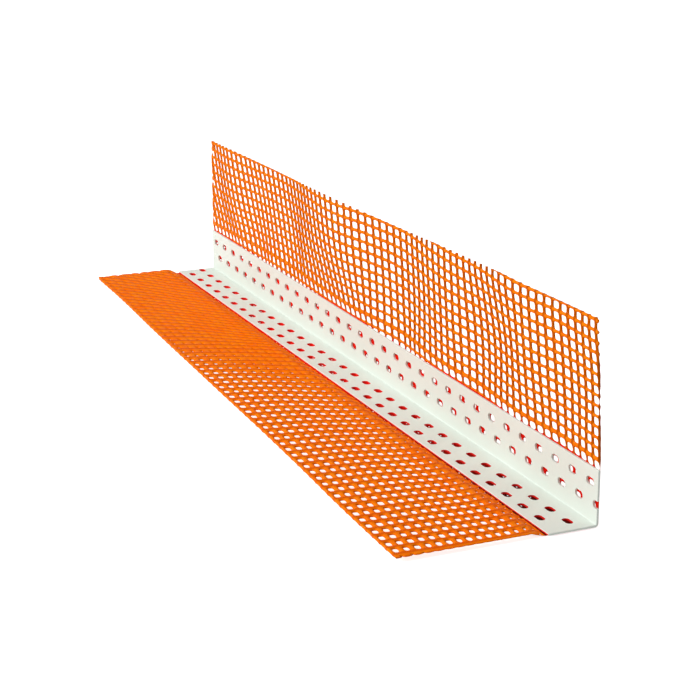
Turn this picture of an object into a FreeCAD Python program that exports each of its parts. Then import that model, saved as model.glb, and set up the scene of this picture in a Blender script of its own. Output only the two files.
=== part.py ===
"""Corner guard moulding: a slotted plastic angle with an open glass-fibre mesh glued on its outer side.

Millimetres, +Z up. The guard lies as in its picture: one mesh wing flat on the floor, the other
standing. The origin is the middle of the footprint at floor level. Y runs along the corner and the
near end is at -Y. The upright wing stands at +X, and the floor wing reaches from it towards -X.
"""
import FreeCAD, Part
import math
import os

import Sketcher

Vec = FreeCAD.Vector
doc = FreeCAD.newDocument("corner_guard")

# Driving dimensions
SIZES = {
    # Plastic angle
    "total_length": 426.0,
    "wall": 0.9,
    "upright_leg": 23.0,
    "floor_leg": 21.9,
    "nose_radius": 1.5,
    "crease_radius": 0.6,
    "edge_radius": 0.3,
    # Slots in two rows through each leg: their height above the leg's root, and the first one's
    # distance from the near end. The stock is cut through the upright leg's inner row at both ends.
    "slot_length": 5.8,
    "slot_width": 3.2,
    "slot_pitch": 13.36,
    "inner_row_height": 8.9,
    "outer_row_height": 17.0,
    "upright_inner_start": 0.4,
    "upright_outer_start": 5.9,
    "floor_inner_start": 8.2,
    "floor_outer_start": 15.5,
    # Mesh strip round the outside of the angle, cut narrower towards the far end
    "mesh_thickness": 0.5,
    "upright_wing_near": 83.5,
    "upright_wing_far": 75.0,
    "floor_wing_near": 85.0,
    "floor_wing_far": 70.0,
    "cross_strand_width": 0.9,
    "cross_strand_pitch": 6.0,
    "long_strand_width": 0.7,
    "long_strand_pitch": 4.25,
    "cross_strands_per_node": 12.0,
}

sheet = doc.addObject("Spreadsheet::Sheet", "sizes")
for row, (alias, value) in enumerate(SIZES.items(), start=1):
    sheet.set(f"A{row}", alias)
    sheet.set(f"B{row}", str(value))
    sheet.setAlias(f"B{row}", alias)
doc.recompute()


def size(alias):
    """A driving dimension, as the sheet holds it."""
    return float(sheet.get(alias))


# Places worked out from the driving dimensions
half_length = size("total_length") / 2
outer_x = size("floor_wing_near") / 2
face_x = outer_x - size("mesh_thickness")
face_z = size("mesh_thickness")
crease_x = face_x - size("wall")
crease_z = face_z + size("wall")
FACE_X_TEXT = "sizes.floor_wing_near / 2 - sizes.mesh_thickness"
FACE_Z_TEXT = "sizes.mesh_thickness"


def attach(sketch, body, role):
    """Put a sketch on one of its own body's origin planes."""
    plane = next(item for item in body.Origin.OriginFeatures if item.Role == role)
    sketch.AttachmentSupport = [(plane, "")]
    sketch.MapMode = "FlatFace"


def bind(sketch, name, kind, points, value, expression):
    """Add a named dimension to a sketch and drive it from the sheet."""
    sketch.addConstraint(Sketcher.Constraint(kind, *points, value))
    sketch.renameConstraint(sketch.ConstraintCount - 1, name)
    sketch.setExpression(f"Constraints.{name}", expression)


# Plastic angle
angle = doc.addObject("PartDesign::Body", "corner_profile")
angle.Label = "corner_profile"


def angle_section(body):
    """The L section across the length, with its outer faces where the mesh's inner side is."""
    sketch = body.newObject("Sketcher::SketchObject", "angle_section")
    attach(sketch, body, "XZ_Plane")
    corners = [
        Vec(face_x, face_z, 0),
        Vec(face_x, face_z + size("upright_leg"), 0),
        Vec(crease_x, face_z + size("upright_leg"), 0),
        Vec(crease_x, crease_z, 0),
        Vec(face_x - size("floor_leg"), crease_z, 0),
        Vec(face_x - size("floor_leg"), face_z, 0),
    ]
    count = len(corners)
    for line in range(count):
        sketch.addGeometry(Part.LineSegment(corners[line], corners[(line + 1) % count]), False)
    for line in range(count):
        sketch.addConstraint(Sketcher.Constraint("Coincident", line, 2, (line + 1) % count, 1))
        sketch.addConstraint(Sketcher.Constraint("Horizontal" if line % 2 else "Vertical", line))
    bind(sketch, "outer_face", "DistanceX", (-1, 1, 0, 1), face_x, FACE_X_TEXT)
    bind(sketch, "underside", "DistanceY", (-1, 1, 0, 1), face_z, FACE_Z_TEXT)
    bind(sketch, "upright", "DistanceY", (0, 1, 0, 2), size("upright_leg"), "sizes.upright_leg")
    bind(sketch, "upright_wall", "DistanceX", (1, 2, 1, 1), size("wall"), "sizes.wall")
    bind(sketch, "floor_wall", "DistanceY", (4, 2, 4, 1), size("wall"), "sizes.wall")
    bind(sketch, "floor", "DistanceX", (5, 1, 5, 2), size("floor_leg"), "sizes.floor_leg")
    return sketch


angle_pad = angle.newObject("PartDesign::Pad", "angle_pad")
angle_pad.Profile = angle_section(angle)
angle_pad.SideType = "Symmetric"
angle_pad.setExpression("Length", "sizes.total_length")
doc.recompute()


def round_edges(body, name, places, radius):
    """A fillet on the edges that run the whole length through these places (x, z) of the section."""
    base = body.Tip
    names = []
    for number, edge in enumerate(base.Shape.Edges, start=1):
        start, end = edge.Vertexes[0].Point, edge.Vertexes[-1].Point
        runs = abs(start.y - end.y) > size("total_length") / 2
        if runs and any(math.hypot(start.x - x, start.z - z) < 0.01 for x, z in places):
            names.append(f"Edge{number}")
    assert len(names) == len(places), name
    fillet = body.newObject("PartDesign::Fillet", name)
    fillet.Base = (base, names)
    fillet.setExpression("Radius", f"sizes.{radius}")
    doc.recompute()


leg_tip = (crease_x, face_z + size("upright_leg"))
floor_tip = (face_x - size("floor_leg"), crease_z)
round_edges(angle, "nose_round", [(face_x, face_z)], "nose_radius")
round_edges(angle, "crease_round", [(crease_x, crease_z)], "crease_radius")
round_edges(angle, "tip_rounds", [leg_tip, floor_tip], "edge_radius")


def slot_sketch(body, row_name, role, root, root_text, sign, height):
    """The slot nearest the near end: two half circles joined by two sides along the corner."""
    sketch = body.newObject("Sketcher::SketchObject", f"{row_name}_slot")
    attach(sketch, body, role)
    flat = role == "XY_Plane"
    radius = size("slot_width") / 2
    straight = size("slot_length") / 2 - radius
    middle = size(f"{row_name}_start") - half_length
    across = root + sign * size(height)
    turn = 0 if flat else -math.pi / 2

    def half_circle(along, start_angle):
        centre = Vec(across, along, 0) if flat else Vec(along, across, 0)
        circle = Part.Circle(centre, Vec(0, 0, 1), radius)
        return Part.ArcOfCircle(circle, start_angle, start_angle + math.pi)

    far_end = half_circle(middle + straight, turn)
    near_end = half_circle(middle - straight, turn + math.pi)
    sides = [
        Part.LineSegment(far_end.EndPoint, near_end.StartPoint),
        Part.LineSegment(near_end.EndPoint, far_end.StartPoint),
    ]
    sketch.addGeometry([far_end, sides[0], near_end, sides[1]], False)
    for piece in range(4):
        sketch.addConstraint(Sketcher.Constraint("Tangent", piece, 2, (piece + 1) % 4, 1))
    sketch.addConstraint(Sketcher.Constraint("Vertical" if flat else "Horizontal", 1))
    sketch.addConstraint(Sketcher.Constraint("Equal", 0, 2))
    along_kind, across_kind = ("DistanceY", "DistanceX") if flat else ("DistanceX", "DistanceY")
    straight_text = "(sizes.slot_length - sizes.slot_width)"
    start_text = f"sizes.total_length / 2 - sizes.{row_name}_start + {straight_text} / 2"
    across_text = f"{root_text} {'+' if sign > 0 else '-'} sizes.{height}"
    bind(sketch, "end_radius", "Radius", (0,), radius, "sizes.slot_width / 2")
    bind(sketch, "straight", along_kind, (2, 3, 0, 3), 2 * straight, straight_text)
    bind(sketch, "start", along_kind, (2, 3, -1, 1), straight - middle, start_text)
    bind(sketch, "row", across_kind, (-1, 1, 2, 3), across, across_text)
    return sketch


def slot_row(body, row_name, role, root, root_text, sign, height):
    """A row of slots through one leg, repeated from the near end until they run off the far end."""
    sketch = slot_sketch(body, row_name, role, root, root_text, sign, height)
    doc.recompute()
    volume_before = body.Shape.Volume
    pocket = body.newObject("PartDesign::Pocket", f"{row_name}_pocket")
    pocket.Profile = sketch
    pocket.Type = "ThroughAll"
    pocket.SideType = "Symmetric"
    doc.recompute()
    pattern = body.newObject("PartDesign::LinearPattern", f"{row_name}_row")
    pattern.Originals = [pocket]
    pattern.Direction = (sketch, ["V_Axis" if role == "XY_Plane" else "H_Axis"])
    pattern.Mode = "Spacing"
    pattern.setExpression("Offset", "sizes.slot_pitch")
    room = f"(sizes.total_length + sizes.slot_length / 2 - sizes.{row_name}_start)"
    pattern.setExpression("Occurrences", f"floor({room} / sizes.slot_pitch) + 1")
    body.Tip = pattern
    doc.recompute()
    one_slot = (size("slot_length") - size("slot_width")) * size("slot_width")
    one_slot += math.pi * (size("slot_width") / 2) ** 2
    cut = (volume_before - body.Shape.Volume) / (one_slot * size("wall"))
    assert cut > pattern.Occurrences - 2, row_name
    print(row_name, pattern.Occurrences, "slots")


for place, height in (("inner", "inner_row_height"), ("outer", "outer_row_height")):
    slot_row(angle, f"floor_{place}", "XY_Plane", face_x, FACE_X_TEXT, -1, height)
    slot_row(angle, f"upright_{place}", "YZ_Plane", face_z, FACE_Z_TEXT, 1, height)


# Mesh strip
bend_radius = size("nose_radius") + size("mesh_thickness")
cross_width = size("cross_strand_width")
long_width = size("long_strand_width")
cross_steps = round((size("total_length") - cross_width) / size("cross_strand_pitch"))
cross_pitch = (size("total_length") - cross_width) / cross_steps
# Middles of the strands that run across the strip, counted from the far end
cross_strands = [cross_width / 2 + step * cross_pitch for step in range(cross_steps + 1)]


def long_strands(wing_width):
    """Middles of the strands that run along the corner, from the wing's outer edge to the bend."""
    rows = int((wing_width - bend_radius - long_width) // size("long_strand_pitch")) + 1
    return [wing_width - long_width / 2 - row * size("long_strand_pitch") for row in range(rows)]


def rectangle(low_across, high_across, low_along, high_along):
    """A flat face, across the strip in X and along it in Y."""
    points = [
        Vec(low_across, low_along, 0),
        Vec(high_across, low_along, 0),
        Vec(high_across, high_along, 0),
        Vec(low_across, high_along, 0),
    ]
    return Part.Face(Part.makePolygon(points + points[:1]))


def wing_section(near_width, far_width, first, last):
    """The stretch of a wing that holds these cross strands: a flat sheet with every opening cut."""
    start = 0 if first == 0 else (cross_strands[first - 1] + cross_strands[first]) / 2
    end = size("total_length")
    if last < cross_steps:
        end = (cross_strands[last] + cross_strands[last + 1]) / 2

    def width_at(along):
        return far_width + (near_width - far_width) * along / size("total_length")

    corners = [
        Vec(bend_radius, start, 0),
        Vec(width_at(start), start, 0),
        Vec(width_at(end), end, 0),
        Vec(bend_radius, end, 0),
    ]
    flat_sheet = Part.Face(Part.makePolygon(corners + corners[:1]))
    rows = long_strands(near_width)
    gaps_across = [(low + long_width / 2, high - long_width / 2) for high, low in zip(rows, rows[1:])]
    gaps_across.append((0, rows[-1] - long_width / 2))
    openings = []
    for strand in range(max(first - 1, 0), min(last + 1, cross_steps)):
        low_along = cross_strands[strand] + cross_width / 2
        high_along = cross_strands[strand + 1] - cross_width / 2
        for low_across, high_across in gaps_across:
            openings.append(rectangle(low_across, high_across, low_along, high_along))
    pieces = flat_sheet.cut(openings).Faces
    mesh = max(pieces, key=lambda piece: piece.Area)
    return mesh.extrude(Vec(0, 0, size("mesh_thickness")))


def add_mesh_node(name, shape, placement):
    """One named stretch of the mesh strip."""
    node = doc.addObject("Part::Feature", name)
    node.Label = name
    node.Shape = shape
    node.Placement = placement
    return node


def wing_nodes(wing, placement):
    """A wing as stretches with the same number of cross strands, numbered from the far end."""
    near_width, far_width = size(f"{wing}_wing_near"), size(f"{wing}_wing_far")
    per_node = int(size("cross_strands_per_node"))
    nodes = []
    for first in range(0, cross_steps + 1, per_node):
        last = min(first + per_node - 1, cross_steps)
        stretch = wing_section(near_width, far_width, first, last)
        nodes.append(add_mesh_node(f"{wing}_mesh_{len(nodes) + 1}", stretch, placement))
    return nodes


# A wing is drawn with its width along X and its length along Y, from the far end. The floor wing
# is turned half round, and the upright wing is stood on its inner edge.
floor_place = FreeCAD.Placement(Vec(outer_x, half_length, 0), FreeCAD.Rotation(Vec(0, 0, 1), 180))
stand_up = FreeCAD.Rotation(Vec(0, 0, 1), Vec(0, -1, 0), Vec(1, 0, 0), "XYZ")
upright_place = FreeCAD.Placement(Vec(face_x, half_length, 0), stand_up)
mesh_nodes = wing_nodes("floor", floor_place) + wing_nodes("upright", upright_place)


def nose_mesh():
    """The strip where it bends round the nose: quarter rings with one long strand on their middle."""
    axis_point = Vec(outer_x - bend_radius, 0, bend_radius)
    turn_axis = Vec(0, -1, 0)
    thickness = Vec(0, 0, size("mesh_thickness"))
    rings = []
    for strand in cross_strands:
        corner = Vec(axis_point.x, half_length - strand - cross_width / 2, 0)
        foot = Part.LineSegment(corner, corner + thickness).toShape().extrude(Vec(0, cross_width, 0))
        rings.append(foot.revolve(axis_point, turn_axis, 90))
    middle_radius = bend_radius - size("mesh_thickness") / 2
    half_turn = math.degrees(long_width / middle_radius) / 2
    corner = Vec(axis_point.x, -half_length, 0)
    foot = Part.LineSegment(corner, corner + thickness).toShape()
    foot.rotate(axis_point, turn_axis, 45 - half_turn)
    sector = foot.revolve(axis_point, turn_axis, 2 * half_turn)
    long_strand = sector.extrude(Vec(0, size("total_length"), 0))
    return long_strand.multiFuse(rings)


mesh_nodes.append(add_mesh_node("nose_mesh", nose_mesh(), FreeCAD.Placement()))

doc.recompute()
for item in doc.Objects:
    assert "Invalid" not in item.State and "Error" not in item.State, item.Name
os.makedirs("parts", exist_ok=True)
for sub_part in [angle] + mesh_nodes:
    shape = sub_part.Shape
    assert not shape.isNull() and shape.isValid(), sub_part.Label
    shape.exportStep(f"parts/{sub_part.Label}.step")
    print(sub_part.Label, len(shape.Solids), "solids", round(shape.Volume, 1), "mm3")
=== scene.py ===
"""Looks of the corner guard: the plastic angle keeps its CAD shape, and the mesh strip round it is
replaced by two detailed wings of coated strands. Lengths are in millimetres until a mesh is made."""
import math
from collections import namedtuple

import bmesh
import bpy
import numpy as np
from mathutils import Matrix, Vector


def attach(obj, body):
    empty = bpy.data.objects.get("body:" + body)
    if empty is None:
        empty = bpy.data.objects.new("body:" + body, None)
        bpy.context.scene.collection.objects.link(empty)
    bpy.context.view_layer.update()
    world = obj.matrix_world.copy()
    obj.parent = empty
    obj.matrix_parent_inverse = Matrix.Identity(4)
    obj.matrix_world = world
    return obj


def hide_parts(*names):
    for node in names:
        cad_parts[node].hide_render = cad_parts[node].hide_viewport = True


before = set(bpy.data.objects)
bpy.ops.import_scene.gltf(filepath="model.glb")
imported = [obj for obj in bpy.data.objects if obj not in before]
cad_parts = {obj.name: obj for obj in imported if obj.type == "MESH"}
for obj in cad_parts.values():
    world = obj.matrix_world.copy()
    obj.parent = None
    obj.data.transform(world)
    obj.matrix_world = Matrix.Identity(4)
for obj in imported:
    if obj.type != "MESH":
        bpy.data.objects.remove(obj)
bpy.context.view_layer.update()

MM = 0.001

# The corner's half length, the mesh's outer face beside the wall, and how far each leg of the angle
# reaches from the mesh's outer faces, as the CAD has them
HALF_LENGTH = 213.0
LENGTH = 2 * HALF_LENGTH
OUTER_X = 42.5
STANDING_LEG = 23.5
LYING_LEG = 22.4

# The camera: its place in millimetres, its heading and dip in degrees, its focal length in pixels
# of the photograph's frame, and its sensor
CAMERA_PLACE = (-319.6, -791.3, 280.0)
CAMERA_HEADING = 66.0
CAMERA_DIP = 17.16
FOCAL_PIXELS, FRAME_PIXELS = 1900.0, 700.0
SENSOR_WIDTH = 36.0


def hermite(t, width, low, high, low_slope, high_slope):
    """A cubic between two values with their slopes, where t goes from 0 to 1 over the width."""
    keep = (2 * t**3 - 3 * t**2 + 1) * low + (t**3 - 2 * t**2 + t) * width * low_slope
    return keep + (3 * t**2 - 2 * t**3) * high + (t**3 - t**2) * width * high_slope


def curve(points):
    """A smooth line through (place, value) points, as a function of arrays."""
    place = np.array([p[0] for p in points], float)
    value = np.array([p[1] for p in points], float)
    slope = np.gradient(value, place)

    def at(x):
        x = np.clip(x, place[0], place[-1])
        k = np.clip(np.searchsorted(place, x) - 1, 0, len(place) - 2)
        width = place[k + 1] - place[k]
        return hermite((x - place[k]) / width, width, value[k], value[k + 1], slope[k], slope[k + 1])

    return at


def surface(levels, curves):
    """A smooth surface over (station, level), from the curve that it has along each level."""
    levels = np.array(levels, float)

    def at(station, level):
        station, level = np.broadcast_arrays(np.asarray(station, float), np.asarray(level, float))
        values = np.stack([line(station) for line in curves])
        slopes = np.gradient(values, levels, axis=0)
        level = np.clip(level, levels[0], levels[-1])
        k = np.clip(np.searchsorted(levels, level) - 1, 0, len(levels) - 2)
        width = levels[k + 1] - levels[k]
        low, high, low_slope, high_slope = (
            np.take_along_axis(grid, n[None], 0)[0] for grid in (values, slopes) for n in (k, k + 1))
        return hermite((level - levels[k]) / width, width, low, high, low_slope, high_slope)

    return at


def ease(x, low, high):
    """0 up to low, 1 from high on, and a smooth step between them."""
    t = np.clip((x - low) / (high - low), 0, 1)
    return t * t * (3 - 2 * t)


# The sheet is described by s, the distance along the corner from the far end, and a, the distance
# across it, which is the height on the standing wing and the reach on the lying one. The cross
# strands stand at this even pitch. The mesh's middle lies this deep in where it is glued, and so it
# does round the bend, half-way round which the wings meet.
PITCH = 6.0
GLUED_MIDDLE = 0.25
BEND = 2.0
BEND_MIDDLE = BEND - math.pi / 4 * (BEND - GLUED_MIDDLE)
# Half a knot's thickness where the mesh is free and where it is pressed flat under the glue
KNOT_HALF = 0.70
GLUED_HALF = 0.24

# The weave was pulled askew before it was cut: the cross strands lean and bunch, and the ones
# along the corner wander. Each cross strand has a number, and the two wings' strands meet at the
# bend. A drift is how far along a strand lies from its even place, for a wing that is quite flat.
# It is given over the strands' numbers, for a few distances across. The points are the places where
# the photograph shows the weave turning.
standing_drift = surface([0.6, 26, 51, 77], [
    curve([(0, 24), (68, 24)]),
    curve([
        (0, 24.5), (4, 22.3), (8, 27), (11, 24), (15.5, 25.6), (20, 21.7), (24, 20), (28, 18.5), (33, 19.5),
        (38, 26.3), (41, 23.3), (47, 23), (50, 25.3), (55, 22), (64, 21.5), (68, 17.3),
    ]),
    curve([
        (0, 11.3), (4, 8.7), (8, 15.7), (14, 17.4), (17, 18.3), (20, 13.2), (24, 7.5), (27, 6), (30, 9),
        (34, 18.6), (38, 23.8), (44, 20), (47, 19.5), (50, 22.7), (53, 22.2), (57, 17.5), (64, 18.8),
        (68, 15.8),
    ]),
    curve([
        (0, 2), (4, -1.2), (8, 3.3), (12, 6.4), (17, 9), (20, 5.4), (24, -0.6), (27, -0.8), (30, 4.3),
        (34, 13.7), (38, 20.2), (44, 16.8), (50, 16), (56, 11.8), (60, 13.5), (64, 14.2), (68, 10.9),
    ]),
])
# Where the lying wing's strand 0 would lie, if the weave were even
LYING_START = 192.0
lying_drift = surface([0.6, 26, 58, 82], [
    curve([(-30, 0), (39, 0)]),
    curve([
        (-30, -32), (-24, -24), (-18, -18), (-12, -16), (-6, -17), (0, -21.7), (6, -15.2), (12, -8.7),
        (18, -4.2), (24, 0), (30, 1.8), (39, 1.5),
    ]),
    curve([
        (-30, -73), (-24, -63.5), (-18, -55), (-12, -49), (-6, -46), (0, -40.5), (6, -32.2), (12, -23.5),
        (18, -15), (24, -7.7), (30, -2.4), (39, 1.4),
    ]),
    curve([
        (-30, -96), (-18, -77.5), (-12, -68.5), (-6, -60.5), (0, -49.3), (6, -39.6), (12, -29.4), (18, -19.2),
        (24, -10.4), (30, -4), (39, 0.6),
    ]),
])
# How high three rows of the standing wing lie. Below the first of them the rows run straight into
# the bend, and above the last they follow it at an even distance.
FIRST_ROW, MIDDLE_ROW, LAST_ROW = 7, 12, 18
ROW_PITCH, TOP_ROW_PITCH = 4.4, 4.2
FIRST_LEVEL = 27.8
standing_level = surface([FIRST_ROW, MIDDLE_ROW, LAST_ROW], [
    curve([
        (0, 28), (35, 29), (80, 30.3), (120, 30.5), (150, 29.4), (195, 28.7), (250, 31), (295, 28.4),
        (325, 29.2), (360, 27.4), (400, 28.4), (426, 27.4),
    ]),
    curve([
        (0, 49.5), (30, 48.5), (75, 50.8), (115, 51.6), (145, 49.6), (175, 48.2), (215, 50.8), (245, 52.4),
        (295, 48.9), (325, 49.8), (365, 47.4), (395, 48.6), (426, 48.1),
    ]),
    curve([
        (0, 74.8), (20, 74.5), (70, 75.9), (115, 76.6), (160, 74.3), (215, 77.3), (250, 78.3), (290, 75.1),
        (325, 74.1), (355, 71.9), (395, 73.1), (426, 72.3),
    ]),
])
# Each wing's outer edge along the corner
standing_edge = curve([(0, 75.4), (80, 76.4), (180, 77.4), (250, 79), (330, 81.6), (390, 83), (426, 83.9)])
seen_edge = curve([(0, 68.6), (42, 69.6), (105, 72.4), (186, 75.3), (317, 80), (373, 82.8), (426, 84.5)])
# The lying wing's rows are counted from the bend, and this one lies on its edge. The curve says how
# far in from the edge the rows before it lie.
EDGE_ROW = 22
from_edge = curve([(0, 0), (4, 17.5), (8, 34.2), (12, 50), (16, 65), (22, 87.8)])
# How high the free part of the lying wing lies along the corner, and from what reach on it is free
lying_lift = curve([(0, 2.6), (80, 2), (200, 1.9), (426, 2)])
LYING_FREE = 30.0
# The lying wing's curves hold for a wing this high, and a place in it moves this far along and
# across for each millimetre that it lies higher, so that the camera sees it in the same spot
KNOWN_LIFT = 1.5
LIFT_ALONG, LIFT_ACROSS = 2.96, 1.3
# The standing wing's top leans in by this much at the near end, from this height on and from this
# far along, and a place moves up and along by these shares of its lean, for the same reason
TOP_LEAN = 3.0
LEAN_FOOT, LEAN_TOP, LEAN_START = 24.0, 82.0, 250.0
LEAN_UP = 0.634
LEAN_ALONG_FAR, LEAN_ALONG_FALL = 2.77, 0.00275


def rise_of(s, a):
    """How high the middle of the lying wing is over the floor."""
    return GLUED_MIDDLE + (lying_lift(s) - GLUED_MIDDLE) * ease(a, LYING_LEG, LYING_FREE)


def lean_of(s, a):
    """How far the standing wing's top leans in over the corner, towards its near end."""
    up = np.clip(a - LEAN_FOOT, 0, None) / (LEAN_TOP - LEAN_FOOT)
    return TOP_LEAN * up ** 1.2 * ease(s, LEAN_START, LENGTH)


def lying_edge(s):
    """How far the lying wing reaches."""
    return seen_edge(s) + LIFT_ACROSS * (lying_lift(s) - KNOWN_LIFT)


def lying_sheet(p, q):
    """Strand p and row q of the lying wing as (s, a): its rows keep their distance from its edge."""
    inner = from_edge(EDGE_ROW - q)
    beyond = np.clip(q - EDGE_ROW, 0, None) * ROW_PITCH
    even = LYING_START + PITCH * p
    s = even + lying_drift(p, 60.0)
    for _ in range(4):
        a = seen_edge(s) - inner + beyond
        s = even + lying_drift(p, a)
    lift = (rise_of(s, a) - KNOWN_LIFT) * ease(a, LYING_LEG, LYING_FREE)
    return s + LIFT_ALONG * lift, a + LIFT_ACROSS * lift


def row_level(s, q):
    """How high row q of the standing wing is seen: straight in the bend, wandering higher up."""
    low = FIRST_LEVEL - ROW_PITCH * (FIRST_ROW - q) - 0.6 * ease(q, 3, 6) * (q < FIRST_ROW)
    low = low + (standing_level(s, FIRST_ROW) - FIRST_LEVEL) * ease(low, 6, 22.5)
    high = standing_level(s, q) + TOP_ROW_PITCH * np.clip(q - LAST_ROW, 0, None)
    return np.where(q < FIRST_ROW, low, high)


def standing_sheet(p, q):
    """Strand p and row q of the standing wing as (s, a)."""
    a = TOP_ROW_PITCH * q - 1.9
    for _ in range(4):
        s = PITCH * p + standing_drift(p, a)
        a = row_level(s, q)
    lean = lean_of(s, a)
    return s + (LEAN_ALONG_FAR - LEAN_ALONG_FALL * s) * lean, a + LEAN_UP * lean


def lying_open(s, a):
    """How far a cell stands open along and across: the coating fills most of the far ones and
    those by the plastic."""
    if a < LYING_LEG or s > LENGTH - 5:
        return 0.2, 0.2
    far = 1 - ease(s + 1.5 * (a - 30), 195, 255)
    by_leg = 1 - ease(a, 25, 37)
    middle = ease(s, 300, 380)
    share = max(0.05, 0.66 + 0.03 * middle - 0.56 * far - 0.56 * by_leg * (1 - far))
    return share, share


def standing_open(s, a):
    """As for the lying wing: here the cells only grow narrower along, towards the far end."""
    if s < 1.8:
        return 0.1, 0.1
    if a < STANDING_LEG - 1.5:
        share = 0.3 + 0.45 * ease(s, 230, 330)
        return share, share
    far = 1 - ease(s, 60, 230)
    return 0.93 - 0.17 * far - 0.12 * far * (1 - ease(a, 30, 60)), 0.97


def bent(a, inward):
    """Where a place near the nose lies: its distances in from the two outer planes of the corner."""
    angle = math.pi / 4 * (1 - np.clip((a - BEND_MIDDLE) / (BEND - BEND_MIDDLE), 0, 1))
    radius = BEND - GLUED_MIDDLE - inward
    return BEND - np.sin(angle) * radius, BEND - np.cos(angle) * radius


def half_thickness(a, leg):
    """Half a knot's thickness: pressed flat where it is glued."""
    return GLUED_HALF + (KNOT_HALF - GLUED_HALF) * ease(a, leg, leg + 5)


def lying_space(s, a, height):
    """Places of the lying wing in space, thinner at its near end."""
    half = half_thickness(a, LYING_LEG) * (1 - 0.55 * ease(s, LENGTH - 7, LENGTH - 2))
    reach, lift = bent(a, height * half)
    straight = a >= BEND
    reach = np.where(straight, a, reach)
    lift = np.where(straight, rise_of(s, a) + height * half, lift)
    return np.stack([OUTER_X - reach, HALF_LENGTH - s, lift], -1)


def standing_space(s, a, height):
    """Places of the standing wing in space, with its knots clear of the wall's plane."""
    half = half_thickness(a, STANDING_LEG)
    rise, depth = bent(a, height * half)
    straight = a >= BEND
    rise = np.where(straight, a, rise)
    middle = GLUED_MIDDLE + 0.35 * ease(a, STANDING_LEG, STANDING_LEG + 5) + lean_of(s, a)
    depth = np.where(straight, middle + height * half, depth)
    return np.stack([OUTER_X - depth, HALF_LENGTH - s, rise], -1)


# A wing is its flat sheet and the way that it lies in space, the curve of its edge and how much is
# left beyond it, the reach of its leg, its first and last strand and its number of rows, how much
# is cut off its near end, its openings' size and roundness, and the seed of its small waves.
Wing = namedtuple("Wing", "sheet space edge beyond leg first last rows shorter openness roundness seed")
LYING = Wing(lying_sheet, lying_space, lying_edge, 0.45, LYING_LEG, -33, 42, 24, 1.2, lying_open, 2.3, 11)
STANDING = Wing(
    standing_sheet, standing_space, standing_edge, 0.0, STANDING_LEG, -6, 73, 22, 0.8, standing_open, 3.2, 31)


def wander(count, seed, width):
    """Slow random waves, one for each thread."""
    local = np.random.default_rng(seed)
    phase = local.uniform(0, 2 * math.pi, (count, 3))
    rate = local.uniform(0.04, 0.22, (count, 3))
    size = local.uniform(0.3, 1.0, (count, 3)) * width

    def at(number, x):
        k = np.clip(np.round(number).astype(int), 0, count - 1)
        return (size[k] * np.sin(rate[k] * x[..., None] + phase[k])).sum(-1)

    return at


# The edge of one cell of the mesh, as places from 0 to 1 along and across
ALONG, ACROSS = 4, 3
cell_edge = [(k / ALONG, 0.0) for k in range(ALONG)] + [(1.0, k / ACROSS) for k in range(ACROSS)]
cell_edge += [(1 - p, 1 - q) for p, q in cell_edge]
# Half of the widest opening, as a share of the cell
HALF_OPEN_ALONG, HALF_OPEN_ACROSS = 0.40, 0.35
# How thick the threads' crests are at a knot, along a cross strand and along a row, and how much of
# that is left half-way to the opening's rim
KNOT, CROSS, ROW = 1.0, 0.88, 0.68
SHOULDER = 0.74


def oval_of(roundness):
    """Where an opening's rim lies for each place of a cell's edge, from -1 to 1."""
    oval = []
    for p, q in cell_edge:
        x, y = 2 * p - 1, 2 * q - 1
        r = (abs(x) ** roundness + abs(y) ** roundness) ** (-1 / roundness)
        oval.append((x * r, y * r))
    return oval


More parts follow.
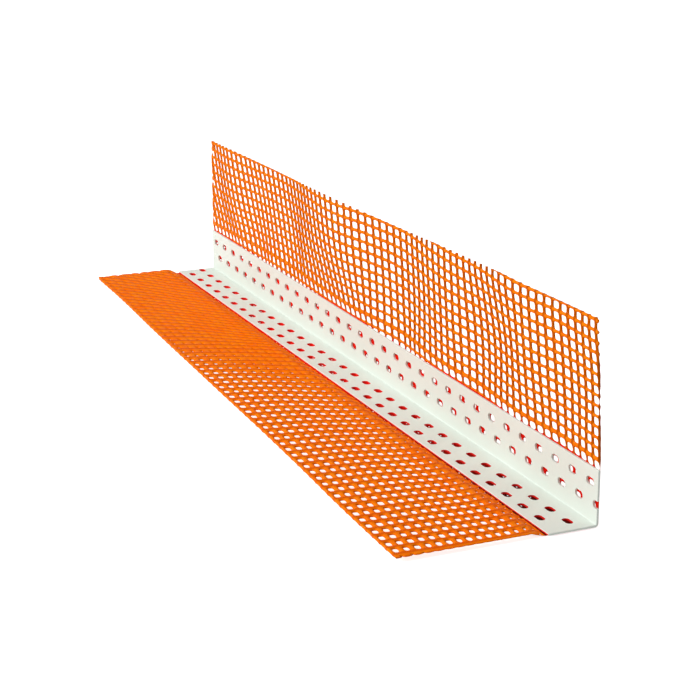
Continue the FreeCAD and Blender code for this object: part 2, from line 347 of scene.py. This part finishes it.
def web_of(wing):
    """Places (s, a, height) and faces of a wing's web before it is cut to size, and where each
    place lies between the cross strands, counted from the first."""
    oval = oval_of(wing.roundness)
    strands = wing.last - wing.first + 1
    sway_strand = wander(strands, wing.seed, 0.10)
    sway_row = wander(wing.rows, wing.seed + 1, 0.09)
    local = np.random.default_rng(wing.seed + 2)
    cell_size = local.uniform(0.93, 1.03, (strands, wing.rows))

    def flat(p, q):
        s, a = wing.sheet(p + wing.first, q)
        free = ease(a, 20, 30)
        return s + free * sway_strand(p, a), a + free * sway_row(q, s)

    corner_p, corner_q = np.meshgrid(np.arange(float(strands)), np.arange(float(wing.rows)), indexing="ij")
    corner_s, corner_a = flat(corner_p, corner_q)
    vertices, faces, shared = [], [], {}

    def put(p, q, height):
        vertices.append((p, q, height))
        return len(vertices) - 1

    def crest_pair(p, q):
        """The places of a thread's crest above and below the sheet, with the crest's height."""
        on_cross, on_row = abs(p - round(p)) < 0.01, abs(q - round(q)) < 0.01
        key = (round(p * ALONG), round(q * ACROSS), on_cross)
        if key not in shared:
            height = KNOT if on_cross and on_row else (CROSS if on_cross else ROW)
            shared[key] = (put(p, q, height), put(p, q, -height), height)
        return shared[key]

    for i in range(strands - 1):
        for j in range(wing.rows - 1):
            s, a = corner_s[i:i + 2, j:j + 2], corner_a[i:i + 2, j:j + 2]
            middle_s = min(max((s.min() + s.max()) / 2, 0.0), LENGTH)
            past_ends = s.max() < -1 or s.min() > LENGTH + 1
            if past_ends or a.max() < 0 or a.min() > float(wing.edge(middle_s)) + 2:
                continue
            along, across = (share * cell_size[i, j] for share in wing.openness(middle_s, a.mean()))
            half_p, half_q = HALF_OPEN_ALONG * along, HALF_OPEN_ACROSS * across
            shoulder = SHOULDER + 0.2 * max(0.0, 0.75 - along)
            crest = [crest_pair(i + p, j + q) for p, q in cell_edge]
            tops, bottoms, rims = [], [], []
            for (p, q), (x, y), (_, _, height) in zip(cell_edge, oval, crest):
                rim_p, rim_q = 0.5 + half_p * x, 0.5 + half_q * y
                mid_p, mid_q = (p + rim_p) / 2, (q + rim_q) / 2
                tops.append(put(i + mid_p, j + mid_q, shoulder * height))
                bottoms.append(put(i + mid_p, j + mid_q, -shoulder * height))
                rims.append(put(i + rim_p, j + rim_q, 0.0))
            for n in range(len(cell_edge)):
                m = (n + 1) % len(cell_edge)
                faces.append((crest[n][0], crest[m][0], tops[m], tops[n]))
                faces.append((tops[n], tops[m], rims[m], rims[n]))
                faces.append((rims[n], rims[m], bottoms[m], bottoms[n]))
                faces.append((bottoms[n], bottoms[m], crest[m][1], crest[n][1]))
    places = np.array(vertices)
    s, a = flat(places[:, 0], places[:, 1])
    return np.stack([s, a, places[:, 2]], -1), faces, places[:, 0]


def cut(bm, place, normal):
    """Cut all beyond a plane away."""
    everything = bm.verts[:] + bm.edges[:] + bm.faces[:]
    bmesh.ops.bisect_plane(
        bm, geom=everything, dist=1e-4, plane_co=place, plane_no=normal, clear_outer=True)


def close_holes(bm):
    """Put a face in every open loop of edges, which the cuts leave at each cut strand."""
    done = set()
    for edge in [e for e in bm.edges if e.is_boundary]:
        if edge in done:
            continue
        done.add(edge)
        loop = list(edge.verts)
        while loop[-1] is not loop[0]:
            onward = [e for e in loop[-1].link_edges if e.is_boundary and e not in done]
            if not onward:
                break
            done.add(onward[0])
            loop.append(onward[0].other_vert(loop[-1]))
        if loop[-1] is loop[0] and len(loop) > 3:
            bm.faces.new(loop[:-1])


def face_outward(mesh):
    """Turn every face's front outward."""
    bm = bmesh.new()
    bm.from_mesh(mesh)
    bmesh.ops.recalc_face_normals(bm, faces=bm.faces[:])
    if bm.calc_volume(signed=True) < 0:
        bmesh.ops.reverse_faces(bm, faces=bm.faces[:])
    bm.to_mesh(mesh)
    bm.free()
    mesh.update()


def trim(mesh, wing):
    """Cut a flat wing straight at both ends and along its outer edge, and close what the cuts open.
    Afterwards the distance across counts from the wing's edge."""
    bm = bmesh.new()
    bm.from_mesh(mesh)
    cut(bm, (0, BEND_MIDDLE + 0.01, 0), (0, -1, 0))
    for vertex in bm.verts:
        vertex.co.y -= float(wing.edge(vertex.co.x))
    cut(bm, (0, wing.beyond, 0), (0, 1, 0))
    cut(bm, (0, 0, 0), (-1, 0, 0))
    cut(bm, (LENGTH - wing.shorter, 0, 0), (1, 0, 0))
    close_holes(bm)
    loose = [v for v in bm.verts if not v.link_faces]
    bmesh.ops.delete(bm, geom=loose, context="VERTS")
    bmesh.ops.triangulate(bm, faces=[f for f in bm.faces if len(f.verts) > 4])
    bm.to_mesh(mesh)
    bm.free()


def add_wing(name, wing):
    """One wing of the mesh strip, made flat, trimmed and then bent into its place. Its faces on the
    inner side of the glued part get the second material, which is painted shade."""
    places, faces, strand = web_of(wing)
    mesh = bpy.data.meshes.new(name)
    mesh.from_pydata(places.tolist(), [], faces)
    mesh.attributes.new("strand", "FLOAT", "POINT").data.foreach_set("value", strand.copy())
    trim(mesh, wing)
    flat = np.empty(len(mesh.vertices) * 3)
    mesh.vertices.foreach_get("co", flat)
    s, past_edge, height = flat.reshape(-1, 3).T
    a = past_edge + wing.edge(s)
    mesh.vertices.foreach_set("co", (wing.space(s, a, height) * MM).ravel())
    corner = np.array([loop.vertex_index for loop in mesh.loops])
    start = np.array([polygon.loop_start for polygon in mesh.polygons])
    one, other = corner[start], corner[start + 2]
    # Faces on the inner side of the glued part, which get the painted shade
    glued_shade = ((a[one] + a[other]) / 2 < wing.leg + 0.6) & (height[one] + height[other] > 0)
    mesh.polygons.foreach_set("material_index", glued_shade.astype(np.int32))
    mesh.polygons.foreach_set("use_smooth", np.ones(len(mesh.polygons), bool))
    face_outward(mesh)
    piece = bpy.data.objects.new(name, mesh)
    bpy.context.scene.collection.objects.link(piece)
    return piece


# Materials
def cleared(owner):
    """The emptied node tree of a material or world, as its nodes and links."""
    owner.use_nodes = True
    owner.node_tree.nodes.clear()
    return owner.node_tree.nodes, owner.node_tree.links


def new_material(name):
    material = bpy.data.materials.new(name)
    nodes, links = cleared(material)
    output = nodes.new("ShaderNodeOutputMaterial")
    shader = nodes.new("ShaderNodeBsdfPrincipled")
    links.new(shader.outputs["BSDF"], output.inputs["Surface"])
    return material, nodes, links, shader


def noise(nodes, links, vector, scale, detail):
    texture = nodes.new("ShaderNodeTexNoise")
    texture.inputs["Scale"].default_value = scale
    texture.inputs["Detail"].default_value = detail
    links.new(vector, texture.inputs["Vector"])
    return texture.outputs["Fac"]


def blend_colour(nodes, links, factor, low, high):
    ramp = nodes.new("ShaderNodeValToRGB")
    ramp.color_ramp.elements[0].position = 0.3
    ramp.color_ramp.elements[1].position = 0.7
    ramp.color_ramp.elements[0].color = (*low, 1)
    ramp.color_ramp.elements[1].color = (*high, 1)
    links.new(factor, ramp.inputs["Fac"])
    return ramp.outputs["Color"]


def turned_to(nodes, links, factor, colour, tone):
    """The colour, turned to the tone as far as the factor says."""
    mix = nodes.new("ShaderNodeMix")
    mix.data_type = "RGBA"
    mix.inputs[7].default_value = (*tone, 1)
    links.new(factor, mix.inputs[0])
    links.new(colour, mix.inputs[6])
    return mix.outputs[2]


def combined(nodes, links, operation, value, *others):
    """The values put together by one operation, two at a time."""
    for other in others:
        step = nodes.new("ShaderNodeMath")
        step.operation = operation
        links.new(value, step.inputs[0])
        links.new(other, step.inputs[1])
        value = step.outputs[0]
    return value


def mapped(nodes, links, value, from_low, from_high, to_low, to_high):
    share = nodes.new("ShaderNodeMapRange")
    share.inputs["From Min"].default_value = from_low
    share.inputs["From Max"].default_value = from_high
    share.inputs["To Min"].default_value = to_low
    share.inputs["To Max"].default_value = to_high
    links.new(value, share.inputs["Value"])
    return share.outputs["Result"]


def roughen(nodes, links, shader, height, strength, distance):
    bump = nodes.new("ShaderNodeBump")
    bump.inputs["Strength"].default_value = strength
    bump.inputs["Distance"].default_value = distance
    links.new(height, bump.inputs["Height"])
    links.new(bump.outputs["Normal"], shader.inputs["Normal"])


def split(nodes, links, place):
    apart = nodes.new("ShaderNodeSeparateXYZ")
    links.new(place, apart.inputs[0])
    return apart.outputs


def within(nodes, links, value, band):
    """1 where the value lies in the band, else 0."""
    low, high = band
    inside = nodes.new("ShaderNodeMath")
    inside.operation = "COMPARE"
    inside.inputs[1].default_value = (low + high) / 2
    inside.inputs[2].default_value = (high - low) / 2
    links.new(value, inside.inputs[0])
    return inside.outputs[0]


# Where red shade is painted on the plastic, in metres: between its two ends, on the walls of the lying
# leg's slots and on the lower part of that leg's long edge
RED_SHADE_ALONG = (-0.2127, 0.2127)
SLOT_REACH, SLOT_HEIGHT = (0.0225, 0.0395), (0.00044, 0.00136)
EDGE_REACH, EDGE_HEIGHT = (0.0199, 0.0203), (0.00035, 0.00105)
RED_SHADE = (0.80, 0.006, 0.003)


def in_red_shade(nodes, links, place):
    """1 where red shade is painted on the plastic, else 0."""
    x, y, z = split(nodes, links, place)
    along = within(nodes, links, y, RED_SHADE_ALONG)
    parts = [
        combined(
            nodes, links, "MULTIPLY", along, within(nodes, links, x, reach), within(nodes, links, z, height))
        for reach, height in ((SLOT_REACH, SLOT_HEIGHT), (EDGE_REACH, EDGE_HEIGHT))
    ]
    return combined(nodes, links, "MAXIMUM", *parts)


def plastic():
    """Off-white PVC, faintly cloudy, with the fine lines of its extrusion along the corner."""
    material, nodes, links, shader = new_material("off_white_pvc")
    place = nodes.new("ShaderNodeTexCoord").outputs["Object"]
    stretch = nodes.new("ShaderNodeMapping")
    stretch.inputs["Scale"].default_value = (1.0, 0.02, 1.0)
    links.new(place, stretch.inputs["Vector"])
    cloud = noise(nodes, links, place, 18.0, 3.0)
    colour = blend_colour(nodes, links, cloud, (0.735, 0.80, 0.73), (0.775, 0.84, 0.77))
    # Painted red shade on the lying leg's slot walls and long edge
    colour = turned_to(nodes, links, in_red_shade(nodes, links, place), colour, RED_SHADE)
    links.new(colour, shader.inputs["Base Color"])
    lines = noise(nodes, links, stretch.outputs["Vector"], 2200.0, 2.0)
    roughen(nodes, links, shader, lines, 0.12, 0.0001)
    shader.inputs["Roughness"].default_value = 0.48
    return material


# A coating with a far shade turns to that painted shade from the first of these places along the corner to
# the second
FAR_TURN = (-0.17, 0.0)


def coating(name, low, high, cross_shade, depth, far_shade=None):
    """Satin coating in a cloudy mix of two tones, with painted shade on the threads that cross the strip."""
    material, nodes, links, shader = new_material(name)
    place = nodes.new("ShaderNodeTexCoord").outputs["Object"]
    colour = blend_colour(nodes, links, noise(nodes, links, place, 160.0, 4.0), low, high)
    number = nodes.new("ShaderNodeAttribute")
    number.attribute_name = "strand"
    from_strand = nodes.new("ShaderNodeMath")
    from_strand.operation = "PINGPONG"
    from_strand.inputs[1].default_value = 0.5
    links.new(number.outputs["Fac"], from_strand.inputs[0])
    # Painted shade on the cross strands, as far as this share says
    share = mapped(nodes, links, from_strand.outputs[0], 0.2, 0.1, 0.0, depth)
    colour = turned_to(nodes, links, share, colour, cross_shade)
    # Painted shade that turns to the far shade farther along the corner
    if far_shade is not None:
        along = split(nodes, links, place)[1]
        colour = turned_to(nodes, links, mapped(nodes, links, along, *FAR_TURN, 0.0, 1.0), colour, far_shade)
    links.new(colour, shader.inputs["Base Color"])
    roughen(nodes, links, shader, noise(nodes, links, place, 2600.0, 3.0), 0.35, 0.00015)
    shader.inputs["Roughness"].default_value = 0.5
    shader.inputs["Specular IOR Level"].default_value = 0.02
    return material


# Painted shade: the mesh's inner side under the legs is painted red shade, on the lying leg almost black near
# the camera and red farther off
# The lying wing's coating, with painted shade on its cross strands
orange = coating("orange_coating", (1.0, 0.175, 0.001), (1.0, 0.24, 0.002), (0.70, 0.080, 0.0004), 0.65)
# The standing wing's coating: the same orange with deeper painted shade on its cross strands
shaded = coating("shaded_coating", (1.0, 0.185, 0.001), (1.0, 0.25, 0.002), (0.48, 0.082, 0.0004), 0.8)
# Painted red shade on the standing wing's mesh behind its leg
glued_red_shade = coating("glued_red_shade_coating", (0.75, 0.006, 0.002), (0.95, 0.016, 0.003), (0.55, 0.004, 0.001), 0.65)
# Painted shadow on the lying wing's mesh under its leg: almost black near the camera, red shade farther off
glued_dark_shade = coating(
    "glued_dark_shade_coating", (0.02, 0.002, 0.001), (0.16, 0.004, 0.002), (0.02, 0.001, 0.001), 0.65,
    far_shade=(0.80, 0.010, 0.003))
pvc = plastic()

for material_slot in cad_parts["corner_profile"].material_slots:
    material_slot.material = pvc

wings = [
    ("lying_wing", LYING, "floor", orange, glued_dark_shade),
    ("standing_wing", STANDING, "upright", shaded, glued_red_shade),
]
for name, wing, cad, coat, glued_shade in wings:
    piece = add_wing(name, wing)
    piece.data.materials.append(coat)
    piece.data.materials.append(glued_shade)
    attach(piece, "root")
    stretches = [f"{cad}_mesh_{number}" for number in range(1, 7)]
    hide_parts(*(stretches + (["nose_mesh"] if cad == "floor" else [])))


# Floor, world and lamps
FLOOR_REACH = 6.0
FLOOR_LEVEL = -0.0002
FLOOR_GLOW = 0.8
SOFT_LIGHT = 0.3


def white_in_view(nodes, links):
    """1 where the camera sees this place straight, in a gloss or through glass."""
    path = nodes.new("ShaderNodeLightPath")
    seen = [path.outputs[f"Is {kind} Ray"] for kind in ("Camera", "Glossy", "Transmission")]
    return combined(nodes, links, "MAXIMUM", *seen)


def add_floor():
    """A plain pale floor, which glows where the camera sees it, so that it shows white."""
    signs = ((-1, -1), (1, -1), (1, 1), (-1, 1))
    corners = [(x * FLOOR_REACH, y * FLOOR_REACH, FLOOR_LEVEL) for x, y in signs]
    mesh = bpy.data.meshes.new("studio_floor")
    mesh.from_pydata(corners, [], [(0, 1, 2, 3)])
    material = bpy.data.materials.new("pale_floor")
    nodes, links = cleared(material)
    output = nodes.new("ShaderNodeOutputMaterial")
    diffuse = nodes.new("ShaderNodeBsdfDiffuse")
    diffuse.inputs["Color"].default_value = (0.9, 0.9, 0.9, 1)
    glow = nodes.new("ShaderNodeEmission")
    strength = mapped(nodes, links, white_in_view(nodes, links), 0.0, 1.0, 0.0, FLOOR_GLOW)
    links.new(strength, glow.inputs["Strength"])
    both = nodes.new("ShaderNodeAddShader")
    links.new(diffuse.outputs[0], both.inputs[0])
    links.new(glow.outputs[0], both.inputs[1])
    links.new(both.outputs[0], output.inputs["Surface"])
    mesh.materials.append(material)
    studio_floor = bpy.data.objects.new("studio_floor", mesh)
    bpy.context.scene.collection.objects.link(studio_floor)
    return studio_floor


def set_world():
    """Soft white light from all round, which the camera sees as plain white."""
    world = bpy.data.worlds.new("studio")
    bpy.context.scene.world = world
    nodes, links = cleared(world)
    output = nodes.new("ShaderNodeOutputWorld")
    mix = nodes.new("ShaderNodeMixShader")
    links.new(white_in_view(nodes, links), mix.inputs["Fac"])
    for number, strength in ((1, SOFT_LIGHT), (2, 1.0)):
        light = nodes.new("ShaderNodeBackground")
        light.inputs["Color"].default_value = (1, 1, 1, 1)
        light.inputs["Strength"].default_value = strength
        links.new(light.outputs[0], mix.inputs[number])
    links.new(mix.outputs[0], output.inputs["Surface"])


def add_lamp(name, place, power, width):
    """A square lamp that shines on the middle of the part."""
    lamp = bpy.data.lights.new(name, "AREA")
    lamp.energy = power
    lamp.size = width
    holder = bpy.data.objects.new(name, lamp)
    holder.location = place
    holder.rotation_euler = (-Vector(place)).to_track_quat("-Z", "Y").to_euler()
    bpy.context.scene.collection.objects.link(holder)


add_floor()
set_world()
add_lamp("key_lamp", (-1.7, 0.2, 1.0), 29.0, 1.0)
add_lamp("top_lamp", (-0.2, -0.1, 2.2), 9.5, 1.4)


def add_camera():
    """The camera that was fitted to the photograph."""
    camera_data = bpy.data.cameras.new("photo_camera")
    camera_data.sensor_fit = "HORIZONTAL"
    camera_data.sensor_width = SENSOR_WIDTH
    camera_data.lens = SENSOR_WIDTH * FOCAL_PIXELS / FRAME_PIXELS
    camera_data.clip_end = 50.0
    camera = bpy.data.objects.new("photo_camera", camera_data)
    heading, dip = math.radians(CAMERA_HEADING), math.radians(CAMERA_DIP)
    level = math.cos(dip)
    forward = Vector((math.cos(heading) * level, math.sin(heading) * level, -math.sin(dip)))
    right = Vector((math.sin(heading), -math.cos(heading), 0.0))
    turn = Matrix((right, right.cross(forward), -forward)).transposed().to_4x4()
    camera.matrix_world = Matrix.Translation(Vector(CAMERA_PLACE) * MM) @ turn
    bpy.context.scene.collection.objects.link(camera)
    return camera


bpy.context.scene.camera = add_camera()
bpy.context.scene.view_settings.view_transform = "Standard"
